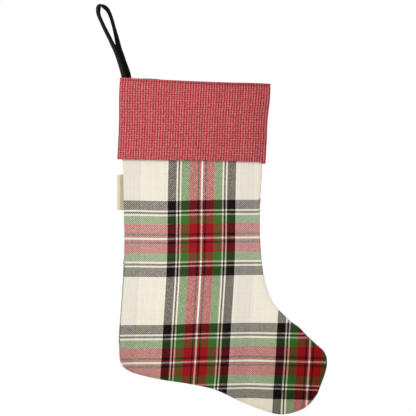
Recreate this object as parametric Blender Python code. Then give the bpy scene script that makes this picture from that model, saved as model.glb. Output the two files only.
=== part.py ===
"""Hanging holiday stocking: plaid leg and foot, turned-down cuff, dark lining, strap loop and side label.

Metres, +Z up, X to the right, the front faces -Y. The origin is the hook seat: the inside of the strap
loop at its top. Sizes below are in millimetres and are multiplied by MM where meshes are made.
"""

import math

import bmesh
import bpy
from mathutils import Matrix, Vector

MM = 0.001

# Outline of leg and foot as (x, z): each row pairs a point of the heel-side edge with one of the instep-side edge.
BODY_PAIRS = (
    ((30.2, -107.4), (250.2, -115.8)),
    ((30.2, -170.0), (246.2, -176.0)),
    ((30.2, -234.0), (242.3, -238.0)),
    ((31.3, -256.0), (241.0, -262.0)),
    ((31.4, -304.0), (238.5, -306.0)),
    ((32.1, -354.0), (239.2, -352.0)),
    ((30.4, -402.0), (243.0, -395.0)),
    ((27.4, -448.0), (250.2, -427.0)),
    ((24.6, -490.0), (262.0, -450.5)),
    ((24.3, -520.0), (277.0, -467.0)),
    ((27.4, -539.0), (288.0, -477.0)),
    ((36.6, -550.0), (298.5, -485.5)),
    ((54.0, -556.4), (309.0, -495.0)),
    ((90.0, -563.6), (322.0, -505.0)),
    ((134.0, -570.0), (331.0, -512.0)),
    ((174.0, -581.4), (336.4, -520.5)),
    ((210.0, -597.0), (340.0, -528.5)),
    ((242.0, -609.0), (341.0, -537.0)),
    ((268.0, -616.0), (339.4, -547.0)),
    ((291.0, -613.4), (336.4, -557.5)),
    ((309.0, -603.4), (332.4, -569.0)),
)
TOE_TIP = (325.6, -583.4)
BODY_HALF_DEPTH = 14.0
TOE_TAPER_FROM = 11.0  # row of BODY_PAIRS where the foot starts to thin towards the toe
SEAM_HALF_GAP = 0.8

# Cuff, as (x, z) of its corners, then its half depth at the top and at the hem.
CUFF_TOP_LEFT = (25.2, -105.7)
CUFF_TOP_RIGHT = (255.2, -114.2)
CUFF_HEM_LEFT = (21.6, -230.6)
CUFF_HEM_RIGHT = (247.3, -235.0)
CUFF_HEIGHT = 125.0
CUFF_HALF_DEPTH_TOP = 17.6
CUFF_HALF_DEPTH_HEM = 19.5
CUFF_SIDE_GAP = 0.35
FLAP_TOP = 5.2  # how far below the mouth edge the loose part of the cuff starts

# Cloth layers, as distances inwards from the outline of the leg.
PANEL_LAYER = (0.0, 1.0)
LINING_LAYER = (1.35, 1.9)
PLUMPNESS = 2.2  # exponent of the cushion section: larger is flatter in the middle and fuller at the seams

ACROSS = 9
ALONG = 27

# Sections as (inset, drop below the mouth edge).
FOLD_SECTION = (
    (0.0, 4.2), (0.0, 1.4), (0.4, 0.4), (1.4, 0.0), (6.8, 0.0), (7.8, 0.4), (8.2, 1.4), (8.2, 7.0),
    (7.5, 7.0), (7.5, 1.5), (6.6, 0.9), (1.6, 0.9), (0.9, 1.6), (0.9, 4.2),
)
FLAP_SECTION = (
    (0.0, FLAP_TOP), (0.0, 122.4), (0.35, 124.3), (1.2, 125.0), (2.05, 124.3), (2.4, 122.4), (2.4, FLAP_TOP),
    (1.5, FLAP_TOP), (1.5, 121.6), (0.9, 121.6), (0.9, FLAP_TOP),
)

# Strap loop: rows of (inner x, inner z, outer x, outer z), from the top down the left leg and up the right one.
EYE_ROWS = (
    (-1.7, 0.0, -3.4, 5.6), (-3.0, -3.2, -7.8, 2.8), (-3.1, -7.4, -9.4, -4.2), (-2.4, -12.8, -8.6, -11.8),
    (1.5, -20.4, -5.2, -19.4), (7.0, -32.0, -0.6, -29.4), (12.0, -43.2, 5.3, -42.0), (17.2, -53.6, 12.0, -55.8),
    (20.2, -58.4, 15.2, -62.0), (20.8, -59.2, 18.6, -67.0), (21.2, -59.5, 20.6, -71.0), (21.6, -59.4, 24.4, -72.3),
    (21.8, -58.8, 28.2, -71.0), (21.6, -57.6, 30.2, -66.8), (20.6, -53.2, 28.8, -58.0), (18.6, -44.2, 24.9, -44.6),
    (16.6, -34.0, 21.7, -33.6), (13.6, -21.8, 18.6, -22.4), (9.2, -10.9, 14.5, -10.8), (4.0, -2.9, 8.8, -1.0),
    (1.7, 0.0, 2.6, 4.1),
)
EYE_HALF_THICKNESS = 1.8
STRAP_CHAMFER = 0.6
SWING_PIVOT = (24.4, 0.0, -66.5)
TONGUE_HALF_THICKNESS = 0.8
TONGUE_CLEAR_RADIUS = 7.2
CHEEK_CLEARANCE = 0.3
NECK_HALF_THICKNESS = 2.4
NECK_HEAD_RADIUS = 6.8
FLOP_PIVOT = (35.9, 0.0, -102.9)
NECK_BASE_LEFT = 28.7
NECK_BASE_RIGHT = 42.9
TAIL_TOP = (36.4, 43.0, -105.75)  # left x, right x, z
TAIL_BOTTOM = (37.4, 44.2, -138.0)
TAIL_HALF_THICKNESS = 1.0

# Label: a tape folded in half with its fold outwards, sewn into the heel-side seam.
LABEL_HINGE = (30.3, 0.0, -280.0)
LABEL_FOLD_X = 23.3
LABEL_TOP = -253.8
LABEL_BOTTOM = -306.4
LABEL_HALF_THICKNESS = 0.6
LABEL_HALF_SLIT = 0.15

SEAM_THREAD_INSET = 0.6
LINING_THREAD_INSET = 1.65
SEAM_THREAD_RADIUS = 0.3
MOUTH_THREAD_AT = (0.45, 4.7)  # inset and drop
MOUTH_THREAD_RADIUS = 0.22
TACK_STROKES = 9
TACK_HEIGHT = 6.0
TACK_TOP = -116.0
TACK_THREAD_RADIUS = 0.25


def clear_scene():
    """Removes whatever the scene starts with."""
    for obj in list(bpy.data.objects):
        bpy.data.objects.remove(obj, do_unlink=True)


def cloth(name, colour, roughness):
    """A plain cloth material."""
    material = bpy.data.materials.new(name)
    material.use_nodes = True
    shader = material.node_tree.nodes["Principled BSDF"]
    shader.inputs["Base Color"].default_value = (*colour, 1.0)
    shader.inputs["Roughness"].default_value = roughness
    shader.inputs["Metallic"].default_value = 0.0
    material.diffuse_color = (*colour, 1.0)
    return material


def through(points, place):
    """The point at a fractional index on a smooth curve through the points (Catmull-Rom)."""
    last = len(points) - 1
    start = min(int(place), last - 1)
    share = place - start
    around = [Vector(points[min(max(start + step, 0), last)]) for step in (-1, 0, 1, 2)]
    before, here, ahead, beyond = around
    square = share * share
    cube = square * share
    return 0.5 * (
        2 * here
        + (ahead - before) * share
        + (2 * before - 5 * here + 4 * ahead - beyond) * square
        + (3 * here - before - 3 * ahead + beyond) * cube
    )


HEEL_EDGE = tuple(pair[0] for pair in BODY_PAIRS) + (TOE_TIP,)
INSTEP_EDGE = tuple(pair[1] for pair in BODY_PAIRS) + (TOE_TIP,)
LAST_ROW = len(BODY_PAIRS)


def inset_point(edge, place, inset, turn):
    """A point of an edge curve moved inwards; turn is 1 on the heel side and -1 on the instep side."""
    step = 0.05
    ahead = through(edge, min(place + step, LAST_ROW))
    behind = through(edge, max(place - step, 0.0))
    way = (ahead - behind).normalized()
    inwards = Vector((-way.y, way.x)) * turn
    return through(edge, place) + inwards * inset


def toe_point(inset):
    """Where both edge curves meet at the toe, moved inwards."""
    heel_side = inset_point(HEEL_EDGE, LAST_ROW, inset, 1)
    instep_side = inset_point(INSTEP_EDGE, LAST_ROW, inset, -1)
    return (heel_side + instep_side) / 2


def shares_across():
    """Positions across a panel from 0 to 1, closer together near the seams."""
    return [(1 - math.cos(math.pi * i / ACROSS)) / 2 for i in range(ACROSS + 1)]


def cushion(share):
    """Height of the cushion section across the width, 0 at the seams and 1 in the middle."""
    return math.sqrt(max(0.0, 1 - abs(2 * share - 1) ** PLUMPNESS))


def body_depth(place):
    """Half depth of the leg and foot, thinning to nothing at the toe."""
    past = max(0.0, place - TOE_TAPER_FROM) / (LAST_ROW - TOE_TAPER_FROM)
    return BODY_HALF_DEPTH * math.sqrt(max(0.0, 1 - past ** 3))


def body_point(side, inset, share, place):
    """A point of a leg layer: side -1 is the front and 1 the back."""
    heel = inset_point(HEEL_EDGE, place, inset, 1)
    instep = inset_point(INSTEP_EDGE, place, inset, -1)
    flat = heel.lerp(instep, share)
    depth = body_depth(place) * (1 - inset / BODY_HALF_DEPTH) * cushion(share)
    return Vector((flat.x, side * (SEAM_HALF_GAP + depth), flat.y))


def cuff_point(side, inset, share, drop, gap):
    """A point of a cuff layer, with the drop measured down from the mouth edge."""
    down = drop / CUFF_HEIGHT
    left = Vector(CUFF_TOP_LEFT).lerp(Vector(CUFF_HEM_LEFT), down) + Vector((inset, 0.0))
    right = Vector(CUFF_TOP_RIGHT).lerp(Vector(CUFF_HEM_RIGHT), down) - Vector((inset, 0.0))
    flat = left.lerp(right, share)
    outer = CUFF_HALF_DEPTH_TOP + (CUFF_HALF_DEPTH_HEM - CUFF_HALF_DEPTH_TOP) * down
    return Vector((flat.x, side * (gap + (outer - inset) * cushion(share)), flat.y))


def add_solid(name, points, faces, material, pivot, smooth=True):
    """Makes one object from points in millimetres, with its origin at the pivot and its faces turned outwards."""
    origin = Vector(pivot)
    mesh = bpy.data.meshes.new(name)
    mesh.from_pydata([(Vector(point) - origin) * MM for point in points], [], faces)
    work = bmesh.new()
    work.from_mesh(mesh)
    bmesh.ops.recalc_face_normals(work, faces=work.faces)
    if work.calc_volume(signed=True) < 0:
        bmesh.ops.reverse_faces(work, faces=work.faces)
    work.to_mesh(mesh)
    work.free()
    mesh.materials.append(material)
    obj = bpy.data.objects.new(name, mesh)
    obj.location = origin * MM
    bpy.context.scene.collection.objects.link(obj)
    if smooth:
        mesh.shade_smooth()
    return obj


def loft(rings, closed):
    """Points and faces of a tube through rings of equal size; closed joins the last ring to the first."""
    points = [point for ring in rings for point in ring]
    size = len(rings[0])
    spans = len(rings) if closed else len(rings) - 1
    faces = []
    for row in range(spans):
        here = row * size
        ahead = ((row + 1) % len(rings)) * size
        for i in range(size):
            j = (i + 1) % size
            faces.append((here + i, here + j, ahead + j, ahead + i))
    if not closed:
        faces.append(tuple(range(size)))
        faces.append(tuple(len(points) - 1 - i for i in range(size)))
    return points, faces


def add_body_sheet(name, side, layer, material):
    """One cloth sheet of the leg and foot: an outer and an inner skin joined along every edge."""
    shares = shares_across()
    columns = len(shares)
    places = [LAST_ROW * row / ALONG for row in range(ALONG)]
    points = []
    for inset in layer:
        points += [body_point(side, inset, share, place) for place in places for share in shares]
    skin = len(places) * columns
    tips = []
    for inset in layer:
        tip = toe_point(inset)
        tips.append(len(points))
        points.append(Vector((tip.x, side * SEAM_HALF_GAP, tip.y)))
    faces = []
    for first, tip in ((0, tips[0]), (skin, tips[1])):
        for row in range(len(places) - 1):
            for column in range(columns - 1):
                a = first + row * columns + column
                faces.append((a, a + 1, a + columns + 1, a + columns))
        last = first + (len(places) - 1) * columns
        for column in range(columns - 1):
            faces.append((last + column, last + column + 1, tip))
    for column in range(columns - 1):
        faces.append((column, column + 1, skin + column + 1, skin + column))
    for edge in (0, columns - 1):
        for row in range(len(places) - 1):
            a = row * columns + edge
            faces.append((a, a + columns, skin + a + columns, skin + a))
        a = (len(places) - 1) * columns + edge
        faces.append((a, tips[0], tips[1], skin + a))
    return add_solid(name, points, faces, material, FLOP_PIVOT)


def mouth_stops():
    """(side, share) pairs once round the mouth: along the front, then back along the rear."""
    shares = shares_across()
    front = [(-1, share) for share in shares]
    back = [(1, share) for share in reversed(shares[1:-1])]
    return front + back


def add_mouth_fold(material):
    """The top fold of the cuff, which turns over the mouth edge and ends inside on the lining."""
    rings = [
        [cuff_point(side, inset, share, drop, 0.0) for inset, drop in FOLD_SECTION]
        for side, share in mouth_stops()
    ]
    return add_solid("cuff_top_fold", *loft(rings, closed=True), material, FLOP_PIVOT)


def flap_hinge(side):
    """The point on a cuff flap's hinge line that sits in the middle of the mouth."""
    return cuff_point(side, 0.0, 0.5, FLAP_TOP, CUFF_SIDE_GAP)


def add_cuff_flap(name, side, material):
    """The loose part of the cuff: two plies joined by the fold at the hem."""
    rings = [
        [cuff_point(side, inset, share, drop, CUFF_SIDE_GAP) for inset, drop in FLAP_SECTION]
        for share in shares_across()
    ]
    return add_solid(name, *loft(rings, closed=False), material, flap_hinge(side))


def cord_rings(path, radius, closed):
    """Square rings of a thread along a path of points."""
    rings = []
    for i, here in enumerate(path):
        if closed:
            way = path[(i + 1) % len(path)] - path[i - 1]
        else:
            way = path[min(i + 1, len(path) - 1)] - path[max(i - 1, 0)]
        way.normalize()
        aside = way.cross(Vector((0.0, 1.0, 0.0)) if abs(way.y) < 0.9 else Vector((0.0, 0.0, 1.0)))
        aside.normalize()
        across = way.cross(aside)
        rings.append([here + aside * radius, here + across * radius, here - aside * radius, here - across * radius])
    return rings


def add_thread(name, path, radius, closed, material):
    """A sewing thread along a path."""
    points, faces = loft(cord_rings(path, radius, closed), closed)
    return add_solid(name, points, faces, material, FLOP_PIVOT)


def seam_path(inset):
    """The seam line from the mouth down the heel side, round the foot and up the instep side."""
    rows = range(1, 2 * LAST_ROW)
    down = [inset_point(HEEL_EDGE, row / 2, inset, 1) for row in rows]
    back_up = [inset_point(INSTEP_EDGE, row / 2, inset, -1) for row in reversed(rows)]
    return [Vector((point.x, 0.0, point.y)) for point in down + [toe_point(inset)] + back_up]


def mouth_thread_path():
    """The topstitch line just under the top fold, once round the mouth."""
    inset, drop = MOUTH_THREAD_AT
    return [cuff_point(side, inset, share, drop, 0.0) for side, share in mouth_stops()]


def tack_path():
    """Zigzag of the bar tack over the front of the strap's sewn-in end."""
    left = TAIL_TOP[0] + 1.6
    right = TAIL_TOP[1] - 0.6
    front = -(TAIL_HALF_THICKNESS + TACK_THREAD_RADIUS + 0.3)
    return [
        Vector((right if stroke % 2 else left, front, TACK_TOP - TACK_HEIGHT * stroke / TACK_STROKES))
        for stroke in range(TACK_STROKES + 1)
    ]


def strap_ring(left, right, half_thickness):
    """A strap section between two (x, z) points, with its four long edges chamfered."""
    chamfer = STRAP_CHAMFER * half_thickness / NECK_HALF_THICKNESS
    across = (right - left).normalized() * chamfer
    thin = half_thickness - chamfer
    corners = (
        (left, -thin), (left + across, -half_thickness), (right - across, -half_thickness), (right, -thin),
        (right, thin), (right - across, half_thickness), (left + across, half_thickness), (left, thin),
    )
    return [Vector((flat.x, y, flat.y)) for flat, y in corners]


def add_cutter(name, radius, low, high):
    """A round cutter on the swing axis between two depths, hidden from view."""
    work = bmesh.new()
    bmesh.ops.create_cone(
        work, cap_ends=True, segments=40, radius1=radius * MM, radius2=radius * MM, depth=(high - low) * MM,
        matrix=Matrix.Rotation(math.pi / 2, 4, "X"),
    )
    mesh = bpy.data.meshes.new(name)
    work.to_mesh(mesh)
    work.free()
    cutter = bpy.data.objects.new(name, mesh)
    cutter.location = Vector((SWING_PIVOT[0], (low + high) / 2, SWING_PIVOT[2])) * MM
    cutter.hide_render = True
    cutter.display_type = "WIRE"
    bpy.context.scene.collection.objects.link(cutter)
    return cutter


def cut(obj, cutter):
    """Takes the cutter's shape out of the object."""
    modifier = obj.modifiers.new(cutter.name, "BOOLEAN")
    modifier.operation = "DIFFERENCE"
    modifier.solver = "EXACT"
    modifier.object = cutter


def add_loop_eye(material):
    """The open loop of the strap, thinned to a tongue where it turns in the neck."""
    rings = [
        strap_ring(Vector((outer_x, outer_z)), Vector((inner_x, inner_z)), EYE_HALF_THICKNESS)
        for inner_x, inner_z, outer_x, outer_z in EYE_ROWS
    ]
    eye = add_solid("loop_eye", *loft(rings, closed=True), material, (0.0, 0.0, 0.0))
    reach = EYE_HALF_THICKNESS + 2.0
    cut(eye, add_cutter("eye_front_cutter", TONGUE_CLEAR_RADIUS, -reach, -TONGUE_HALF_THICKNESS))
    cut(eye, add_cutter("eye_back_cutter", TONGUE_CLEAR_RADIUS, TONGUE_HALF_THICKNESS, reach))
    return eye


def neck_rows():
    """(left, right, half thickness) rows of the doubled strap, from its round head to its round foot."""
    pivot = Vector((SWING_PIVOT[0], SWING_PIVOT[2]))
    base_z = FLOP_PIVOT[2]
    middle = Vector(((NECK_BASE_LEFT + NECK_BASE_RIGHT) / 2, base_z))
    along = (middle - pivot).normalized()
    across = Vector((-along.y, along.x))
    rows = []
    for degrees in (80, 60, 40, 20, 0):
        angle = math.radians(degrees)
        centre = pivot - along * NECK_HEAD_RADIUS * math.sin(angle)
        half = across * NECK_HEAD_RADIUS * math.cos(angle)
        rows.append((centre - half, centre + half, NECK_HALF_THICKNESS))
    for degrees in (0, 30, 60, 80):
        angle = math.radians(degrees)
        z = base_z - NECK_HALF_THICKNESS * math.sin(angle)
        half_thickness = NECK_HALF_THICKNESS * math.cos(angle)
        rows.append((Vector((NECK_BASE_LEFT, z)), Vector((NECK_BASE_RIGHT, z)), half_thickness))
    return rows


def add_loop_neck(material):
    """The doubled strap between the open loop and the cuff, slotted at the top for the tongue."""
    rings = [strap_ring(left, right, half) for left, right, half in neck_rows()]
    neck = add_solid("loop_neck", *loft(rings, closed=False), material, SWING_PIVOT)
    half_slot = TONGUE_HALF_THICKNESS + CHEEK_CLEARANCE
    cut(neck, add_cutter("neck_slot_cutter", NECK_HEAD_RADIUS + 0.3, -half_slot, half_slot))
    return neck


def add_loop_tail(material):
    """The end of the strap that goes down inside the mouth and is sewn in."""
    rings = [
        strap_ring(Vector((left, z)), Vector((right, z)), TAIL_HALF_THICKNESS)
        for left, right, z in (TAIL_TOP, TAIL_BOTTOM)
    ]
    return add_solid("loop_tail", *loft(rings, closed=False), material, FLOP_PIVOT)


def add_label(material):
    """The blank side label: a tape folded once, so that its section is a narrow U."""
    root = LABEL_HINGE[0] + 0.35
    outer = LABEL_HALF_THICKNESS
    slit = LABEL_HALF_SLIT
    section = (
        (root, -outer), (LABEL_FOLD_X + 0.5, -outer), (LABEL_FOLD_X, -outer / 2), (LABEL_FOLD_X, outer / 2),
        (LABEL_FOLD_X + 0.5, outer), (root, outer), (root, slit), (LABEL_FOLD_X + 0.6, slit),
        (LABEL_FOLD_X + 0.6, -slit), (root, -slit),
    )
    rings = [[Vector((x, y, z)) for x, y in section] for z in (LABEL_TOP, LABEL_BOTTOM)]
    return add_solid("side_label", *loft(rings, closed=False), material, LABEL_HINGE, smooth=False)


def build():
    """Makes every piece of the stocking."""
    clear_scene()
    plaid = cloth("plaid_cloth", (0.72, 0.64, 0.52), 0.85)
    cuff_cloth = cloth("cuff_cloth", (0.47, 0.095, 0.095), 0.85)
    lining = cloth("lining_cloth", (0.022, 0.030, 0.024), 0.8)
    strap = cloth("strap_cloth", (0.016, 0.015, 0.014), 0.7)
    tape = cloth("label_tape", (0.66, 0.58, 0.44), 0.75)
    pale_thread = cloth("pale_thread", (0.70, 0.65, 0.55), 0.6)
    red_thread = cloth("red_thread", (0.38, 0.05, 0.06), 0.6)
    black_thread = cloth("black_thread", (0.012, 0.012, 0.012), 0.6)

    add_body_sheet("front_panel", -1, PANEL_LAYER, plaid)
    add_body_sheet("back_panel", 1, PANEL_LAYER, plaid)
    add_body_sheet("front_lining", -1, LINING_LAYER, lining)
    add_body_sheet("back_lining", 1, LINING_LAYER, lining)
    add_thread("side_seam_thread", seam_path(SEAM_THREAD_INSET), SEAM_THREAD_RADIUS, False, pale_thread)
    add_thread("lining_seam_thread", seam_path(LINING_THREAD_INSET), SEAM_THREAD_RADIUS, False, black_thread)

    add_mouth_fold(cuff_cloth)
    add_cuff_flap("cuff_front", -1, cuff_cloth)
    add_cuff_flap("cuff_back", 1, cuff_cloth)
    add_thread("mouth_stitch_thread", mouth_thread_path(), MOUTH_THREAD_RADIUS, True, red_thread)

    add_loop_eye(strap)
    add_loop_neck(strap)
    add_loop_tail(strap)
    add_thread("loop_tack_thread", tack_path(), TACK_THREAD_RADIUS, False, black_thread)

    add_label(tape)


build()
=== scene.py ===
"""Looks of the hanging stocking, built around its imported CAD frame. Metres, +Z up, the front faces -Y.

Sizes are in millimetres and are multiplied by MM where meshes are made. The origin is the hook seat.
"""

import math

import bmesh
import bpy
import numpy as np
from mathutils import Matrix, Vector, noise


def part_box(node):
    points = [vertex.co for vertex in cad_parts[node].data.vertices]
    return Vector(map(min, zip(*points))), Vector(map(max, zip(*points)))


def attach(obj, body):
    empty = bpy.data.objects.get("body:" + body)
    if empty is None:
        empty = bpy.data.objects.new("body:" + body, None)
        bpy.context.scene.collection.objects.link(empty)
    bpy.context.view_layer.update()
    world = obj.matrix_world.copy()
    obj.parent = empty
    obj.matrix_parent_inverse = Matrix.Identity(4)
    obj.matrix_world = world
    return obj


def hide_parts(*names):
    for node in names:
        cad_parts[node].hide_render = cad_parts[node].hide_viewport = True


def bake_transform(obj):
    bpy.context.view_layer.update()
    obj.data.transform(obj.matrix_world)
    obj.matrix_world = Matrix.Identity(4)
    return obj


MM = 0.001

# ---- Shape. Leg and foot: each row pairs a point (x, z) of the heel-side edge with one of the instep side.
BODY_PAIRS = (
    ((31.0, -107.9), (250.0, -117.0)), ((30.9, -170.0), (246.2, -176.0)),
    ((30.8, -234.0), (242.2, -238.0)), ((31.9, -256.0), (240.8, -262.0)),
    ((32.6, -304.0), (238.5, -306.0)), ((33.6, -354.0), (238.9, -352.0)),
    ((32.1, -402.0), (242.5, -395.0)), ((29.0, -448.0), (249.4, -427.0)),
    ((26.0, -490.0), (260.6, -450.5)), ((25.8, -520.0), (276.2, -467.0)),
    ((28.1, -538.4), (286.9, -477.2)), ((37.2, -548.9), (298.4, -485.5)),
    ((54.4, -555.8), (307.0, -494.6)), ((90.0, -563.8), (317.2, -504.6)),
    ((134.0, -570.6), (324.8, -511.8)), ((172.0, -579.5), (334.0, -520.2)),
    ((210.0, -597.3), (338.4, -528.0)), ((242.0, -609.6), (339.7, -537.0)),
    ((268.0, -616.4), (338.8, -547.0)), ((291.0, -613.0), (335.8, -557.5)),
    ((310.4, -603.4), (331.5, -569.0)),
)
TOE_TIP = (325.7, -584.6)
LAST_ROW = len(BODY_PAIRS)
BODY_HALF_DEPTH = 14.0
TOE_TAPER_FROM = 11.0
PLUMPNESS = 2.6
PANEL_COLUMNS = 76
PANEL_ROWS = 170
PANEL_THICKNESS = 0.9
HALVES = (("front", -1), ("back", 1))
SEAM_GROOVE = 0.8
SEAM_GROOVE_REACH = 1.3
SIM_SCALE = 10.0  # the sheet is simulated larger, where the solver is steadier
SIM_FRAMES = 20
CLOTH_SETTINGS = {
    "quality": 6,
    "mass": 0.3,
    "tension_stiffness": 30,
    "compression_stiffness": 30,
    "shear_stiffness": 12,
    "bending_stiffness": 0.4,
    "air_damping": 2,
    "shrink_min": -0.004,  # a negative shrinking: the cloth is a little generous
    "use_pressure": True,
    "uniform_pressure_force": -0.15,  # the sheets' faces look inwards, so this presses them outwards
}
SETTLING_SHARE = 0.07
SETTLING_LIMIT = 0.9  # millimetres

# Cloth coordinates of the second face of the strap and of the label start this much further on.
STRAP_FACE_SHIFT = 40.0
LABEL_FACE_SHIFT = 30.0

# Cuff edges as (x, z), from the mouth to the hem.
CUFF_LEFT = ((26.9, -106.9), (25.6, -134.0), (25.5, -171.0), (24.3, -203.0), (22.8, -230.6))
CUFF_RIGHT = ((255.0, -116.2), (254.0, -140.0), (250.6, -171.0), (249.3, -203.0), (247.3, -235.0))
CUFF_HEIGHT = 125.0
CUFF_HALF_DEPTH_TOP = 17.6
CUFF_HALF_DEPTH_HEM = 19.5
FLAP_TOP = 5.2
CUFF_COLUMNS = 120
CUFF_ROWS = 56
RIM_BELOW_MOUTH = 1.2  # the panels end just under the fold over the mouth

# The lining, and its hem that shows at the back of the mouth, across it from the heel side.
LINING_THICKNESS = 0.5
LINING_INSET = 1.9
LINING_COLUMNS = 40
LINING_ROWS = 80
HEM_SHARES = (0.085, 0.31)
HEM_RISE = 4.7
HEM_END = 7.0  # its ends sink below the fold
HEM_FOOT = 9.0
HEM_INSET = 9.1
HEM_COLUMNS = 40
HEM_ROWS = 8

# Weave of the plaid: its centre lines on the front, and the colour bands from a centre line outwards.
WARP_CENTRE = (150.65, -262.0)
WARP_LEAN = 0.0355
WARP_BOW = 3.1  # the warp bows towards the instep at half height of the leg
WARP_BOW_Z = -388.0
WARP_BOW_REACH = 92.0
WARP_STRETCH = 1.0075
WEFT_FIRST = (-348.75, 0.0000993, 238.7)  # z of a centre line, its bow, and the x where it is flat
WEFT_SECOND = (-534.85, 0.000185, 216.0)
WARP_REPEAT = 170.6
WEFT_REPEAT = 188.8
WARP_BANDS = (
    (1.2, "cream"), (3.9, "red"), (6.4, "black"), (18.1, "red"), (30.4, "green"), (32.8, "cream"),
    (35.6, "black"), (37.9, "cream"), (50.4, "black"), (85.3, "cream"),
)
WEFT_BANDS = (
    (1.3, "cream"), (4.4, "red"), (7.4, "black"), (21.9, "red"), (34.4, "green"), (37.4, "cream"),
    (40.7, "black"), (43.5, "cream"), (57.7, "black"), (94.4, "cream"),
)
# How the cloth lies off those lines, in millimetres.
TOE_BOW = 1.7
HEEL_LIFT = 2.3
WEFT_WAVES = ((-0.45, 108.0, 22.0), (0.7, 222.0, 24.0))  # (height, x, reach)
SECOND_LIFT_SHARE = 0.75
BACK_SHIFT = (-31.7, 2.0)  # the back panel is cut from another place of the cloth
# Yarn colours as they look on screen (sRGB, 0 to 1).
YARNS = {
    "cream": (0.946, 0.917, 0.848),
    "black": (0.100, 0.082, 0.076),
    "green": (0.257, 0.435, 0.198),
    "red": (0.622, 0.108, 0.146),
}
SCREEN_GAMMA = 2.2
WHITE = (1.0, 1.0, 1.0)
YARN_PITCH = 0.75
WARP_SHARE = 0.56
FLOAT_CONTRAST = 0.25  # how much a yarn's share rises where it floats on top
LIGHT_YARN_LOSS = 0.078
GREYER_CREAM = 66.0  # centre of a faintly greyer zone in each cream field

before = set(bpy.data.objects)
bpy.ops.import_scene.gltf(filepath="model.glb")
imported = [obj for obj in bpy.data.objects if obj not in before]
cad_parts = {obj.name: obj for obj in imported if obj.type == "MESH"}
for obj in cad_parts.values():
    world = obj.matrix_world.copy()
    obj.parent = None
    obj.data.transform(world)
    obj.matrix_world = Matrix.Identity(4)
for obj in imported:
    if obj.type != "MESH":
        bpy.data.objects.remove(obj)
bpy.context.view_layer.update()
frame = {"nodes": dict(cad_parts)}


# ---- Small geometry helpers


def through(points, place):
    """The point at a fractional index on a smooth curve through the points (Catmull-Rom)."""
    last = len(points) - 1
    start = min(int(place), last - 1)
    share = place - start
    before, here, ahead, beyond = (Vector(points[min(max(start + k, 0), last)]) for k in (-1, 0, 1, 2))
    square = share * share
    cube = square * share
    return 0.5 * (
        2 * here
        + (ahead - before) * share
        + (2 * before - 5 * here + 4 * ahead - beyond) * square
        + (3 * here - before - 3 * ahead + beyond) * cube
    )


def smooth_step(low, high, value):
    """0 below low, 1 above high, and a smooth rise between them; low may be the larger of the two."""
    share = min(1.0, max(0.0, (value - low) / (high - low)))
    return share * share * (3 - 2 * share)


def hump(value, height, centre, reach):
    """A soft hump of a height about a centre."""
    return height * math.exp(-(((value - centre) / reach) ** 2))


def window(value, low, high, soft):
    """1 between low and high, fading to 0 over a soft edge on both sides."""
    return smooth_step(low - soft, low + soft, value) * (1 - smooth_step(high - soft, high + soft, value))


def link(name, data):
    """A linked object for a mesh, a light or a camera."""
    obj = bpy.data.objects.new(name, data)
    bpy.context.scene.collection.objects.link(obj)
    return obj


def mesh_object(name, points, faces, uvs=None):
    """An object from points in millimetres; uvs holds one pair in millimetres for each point."""
    mesh = bpy.data.meshes.new(name)
    mesh.from_pydata([Vector(point) * MM for point in points], [], faces)
    if uvs is not None:
        layer = mesh.uv_layers.new(name="cloth")
        corner_points = np.zeros(len(mesh.loops), np.int32)
        mesh.loops.foreach_get("vertex_index", corner_points)
        layer.data.foreach_set("uv", (np.array(uvs, float)[corner_points] * MM).astype(np.float32).ravel())
    mesh.validate()
    mesh.shade_smooth()
    return link(name, mesh)


def grid_faces(rows, columns, close_rows=False, close_columns=False):
    """Quads of a grid of points stored row by row."""
    faces = []
    for row in range(rows if close_rows else rows - 1):
        here = row * columns
        there = (row + 1) % rows * columns
        for column in range(columns if close_columns else columns - 1):
            beside = (column + 1) % columns
            faces.append((here + column, here + beside, there + beside, there + column))
    return faces


def face_outwards(obj):
    """Turns the faces of a closed mesh outwards."""
    work = bmesh.new()
    work.from_mesh(obj.data)
    bmesh.ops.recalc_face_normals(work, faces=work.faces)
    if work.calc_volume(signed=True) < 0:
        bmesh.ops.reverse_faces(work, faces=work.faces)
    work.to_mesh(obj.data)
    work.free()
    return obj


def apply_modifiers(obj):
    """Replaces the mesh by its evaluated result."""
    graph = bpy.context.evaluated_depsgraph_get()
    made = bpy.data.meshes.new_from_object(obj.evaluated_get(graph), depsgraph=graph)
    obj.modifiers.clear()
    old = obj.data
    obj.data = made
    bpy.data.meshes.remove(old)


def thicken(obj, thickness, offset):
    """Gives a sheet its thickness in millimetres."""
    modifier = obj.modifiers.new("thickness", "SOLIDIFY")
    modifier.thickness = thickness * MM
    modifier.offset = offset
    bpy.context.view_layer.update()
    apply_modifiers(obj)
    obj.data.shade_smooth()


def end_caps(size, count):
    """The two end faces of a tube of count points in rings of size points."""
    return [tuple(range(size)), tuple(count - 1 - i for i in range(size))]


def joined(pieces):
    """The points and faces of several pieces as one."""
    points = []
    faces = []
    for more, more_faces in pieces:
        faces += [tuple(len(points) + i for i in face) for face in more_faces]
        points += more
    return points, faces


def dress(obj, material, slot, *nodes, body=None):
    """Gives a piece its material, hides the CAD parts it stands for and attaches it to a body; slot is not
    used.
    """
    obj.data.materials.append(material)
    if nodes:
        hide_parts(*nodes)
    if body is not None:
        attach(obj, body)


# ---- Material helpers


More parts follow.
